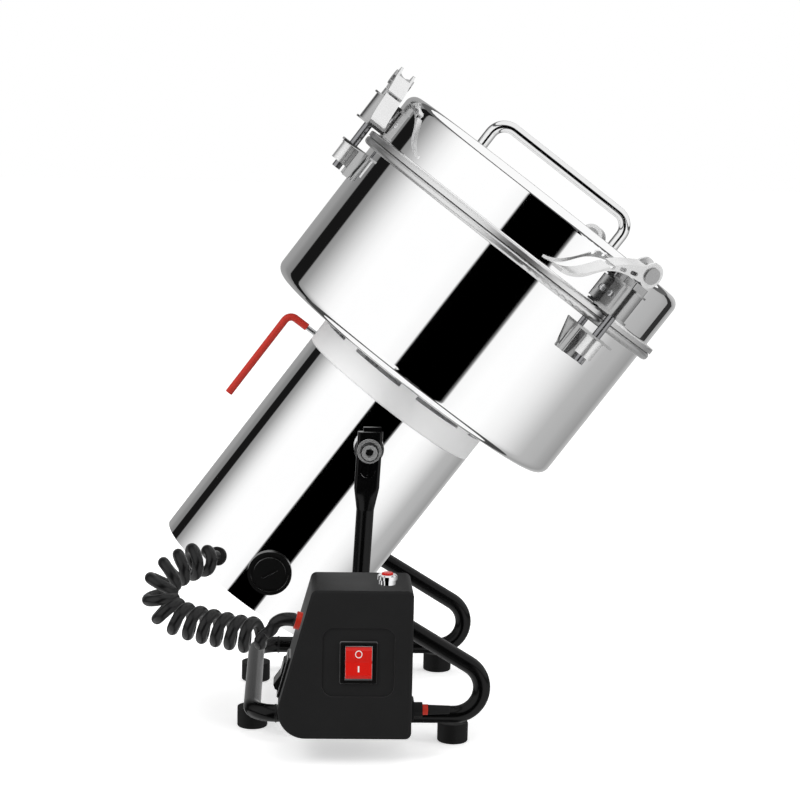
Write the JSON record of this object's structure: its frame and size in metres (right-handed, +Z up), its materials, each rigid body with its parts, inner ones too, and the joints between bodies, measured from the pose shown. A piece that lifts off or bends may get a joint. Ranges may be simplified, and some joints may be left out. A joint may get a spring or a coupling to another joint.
{
  "type": "electric grain mill",
  "caption": "Tilting electric grain mill: lidded steel grinding bowl on a motor housing, hung in a bent-tube stand with a switch box.",
  "frame": {"origin": "on the floor under the middle of the mill without its curly cord, mill at its rest lean", "axes": "+X the way the bowl leans (viewer's right), -Y the front with the switch box, +Z up"},
  "size_m": [0.4009, 0.3047, 0.4981],
  "materials": {
    "front_side_tube": "gloss black paint on steel tube",
    "rear_side_tube": "gloss black paint on steel tube",
    "cross_tube": "gloss black paint on steel tube",
    "rubber_feet": "soft black rubber",
    "stand_screws": "machined steel",
    "pivot_bolts": "machined steel",
    "control_box": "satin moulded plastic",
    "box_cover": "satin moulded plastic",
    "power_switch": "gloss moulded plastic",
    "side_switch": "gloss moulded plastic",
    "switch_terminals": "copper and brass",
    "overload_breaker": "satin moulded plastic",
    "breaker_bush": "mirror polished stainless steel",
    "cord_rings": "soft red sleeve",
    "mains_gland": "satin moulded plastic",
    "cord_start": "soft black rubber",
    "cord_coil": "soft black rubber",
    "cord_end": "soft black rubber",
    "bowl": "mirror polished stainless steel",
    "bowl_screws": "mirror polished stainless steel",
    "collar": "mirror polished stainless steel",
    "motor_housing": "mirror polished stainless steel",
    "bottom_cover": "satin moulded plastic",
    "bearing_plate": "die cast",
    "lower_bracket": "die cast",
    "motor_bearings": "machined steel",
    "shaft_seal": "soft black rubber",
    "stator_core": "coated lamination steel",
    "field_coils": "varnished copper wire",
    "brush_holders": "satin moulded plastic",
    "carbon_brushes": "carbon",
    "brush_springs": "machined steel",
    "brush_caps": "satin moulded plastic",
    "pivot_bosses": "machined steel",
    "tilt_handle": "machined steel",
    "handle_sleeve": "soft red sleeve",
    "latch_lower_brackets": "mirror polished stainless steel",
    "latch_rods": "mirror polished stainless steel",
    "latch_nuts": "mirror polished stainless steel",
    "cord_grommet": "soft black rubber",
    "drive_shaft": "machined steel",
    "armature_core": "coated lamination steel",
    "armature_windings": "varnished copper wire",
    "commutator": "copper and brass",
    "cooling_fan": "satin moulded plastic",
    "grinding_blades": "machined steel",
    "blade_spacers": "machined steel",
    "blade_nut": "machined steel",
    "lid": "mirror polished stainless steel",
    "lid_seal": "food grade silicone",
    "lid_handle": "mirror polished stainless steel",
    "latch_upper_brackets": "mirror polished stainless steel",
    "bracket_screws": "mirror polished stainless steel",
    "latch_barrels": "mirror polished stainless steel",
    "latch_lever_1": "mirror polished stainless steel",
    "latch_lever_2": "mirror polished stainless steel",
    "latch_lever_3": "mirror polished stainless steel",
    "power_rocker": "red translucent plastic",
    "side_rocker": "gloss moulded plastic",
    "reset_button": "red translucent plastic"
  },
  "bodies": {
    "stand": {"front_side_tube": "front_side_tube", "rear_side_tube": "rear_side_tube", "cross_tube": "cross_tube", "rubber_feet": "rubber_feet", "stand_screws": "stand_screws", "pivot_bolts": "pivot_bolts", "control_box": "control_box", "box_cover": "box_cover", "power_switch": "power_switch", "side_switch": "side_switch", "switch_terminals": "switch_terminals", "overload_breaker": "overload_breaker", "breaker_bush": "breaker_bush", "cord_rings": "cord_rings", "mains_gland": "mains_gland", "cord_start": "cord_start", "cord_coil": "cord_coil", "cord_end": "cord_end"},
    "mill": {"bowl": "bowl", "bowl_screws": "bowl_screws", "collar": "collar", "motor_housing": "motor_housing", "bottom_cover": "bottom_cover", "bearing_plate": "bearing_plate", "lower_bracket": "lower_bracket", "motor_bearings": "motor_bearings", "shaft_seal": "shaft_seal", "stator_core": "stator_core", "field_coils": "field_coils", "brush_holders": "brush_holders", "carbon_brushes": "carbon_brushes", "brush_springs": "brush_springs", "brush_caps": "brush_caps", "pivot_bosses": "pivot_bosses", "tilt_handle": "tilt_handle", "handle_sleeve": "handle_sleeve", "latch_lower_brackets": "latch_lower_brackets", "latch_rods": "latch_rods", "latch_nuts": "latch_nuts", "cord_grommet": "cord_grommet"},
    "rotor": {"drive_shaft": "drive_shaft", "armature_core": "armature_core", "armature_windings": "armature_windings", "commutator": "commutator", "cooling_fan": "cooling_fan", "grinding_blades": "grinding_blades", "blade_spacers": "blade_spacers", "blade_nut": "blade_nut"},
    "lid": {"lid": "lid", "lid_seal": "lid_seal", "lid_handle": "lid_handle", "latch_upper_brackets": "latch_upper_brackets", "bracket_screws": "bracket_screws", "latch_barrels": "latch_barrels"},
    "latch_1": {"latch_lever_1": "latch_lever_1"},
    "latch_2": {"latch_lever_2": "latch_lever_2"},
    "latch_3": {"latch_lever_3": "latch_lever_3"},
    "power_key": {"power_rocker": "power_rocker"},
    "side_key": {"side_rocker": "side_rocker"},
    "reset_key": {"reset_button": "reset_button"}
  },
  "joints": [
    {"name": "mill_tilt", "type": "hinge", "parent": "stand", "child": "mill", "pos_m": [-0.04385, 0.01215, 0.22], "axis": [0, 1, 0], "range_deg": [-36.7, 58], "deforming": ["cord_start", "cord_coil", "cord_end"]},
    {"name": "rotor_spin", "type": "hinge", "parent": "mill", "child": "rotor", "pos_m": [-0.04385, 0.01215, 0.22], "axis": [0.5976, 0, 0.8018], "continuous": true},
    {"name": "lid_lift", "type": "slide", "parent": "mill", "child": "lid", "axis": [0.5976, 0, 0.8018], "range_m": [0, 0.12]},
    {"name": "latch_1_turn", "type": "hinge", "parent": "lid", "child": "latch_1", "pos_m": [0.15185, -0.10827, 0.35663], "axis": [-0.4249, 0.848, 0.3167], "range_deg": [0, 110]},
    {"name": "latch_2_turn", "type": "hinge", "parent": "lid", "child": "latch_2", "pos_m": [0.14496, 0.13753, 0.36176], "axis": [-0.3764, -0.8829, 0.2806], "range_deg": [0, 110]},
    {"name": "latch_3_turn", "type": "hinge", "parent": "lid", "child": "latch_3", "pos_m": [-0.02227, 0.00719, 0.48641], "axis": [-0.8013, -0.0349, 0.5973], "range_deg": [0, 110]},
    {"name": "power_press", "type": "hinge", "parent": "stand", "child": "power_key", "pos_m": [-0.05075, -0.14645, 0.0775], "axis": [1, 0, 0], "range_deg": [0, 18]},
    {"name": "side_press", "type": "hinge", "parent": "stand", "child": "side_key", "pos_m": [-0.10226, -0.11985, 0.06074], "axis": [0, -1, 0], "range_deg": [0, 18]},
    {"name": "reset_press", "type": "slide", "parent": "stand", "child": "reset_key", "axis": [0, 0, -1], "range_m": [0, 0.002], "stiffness_N_per_m": 800}
  ]
}
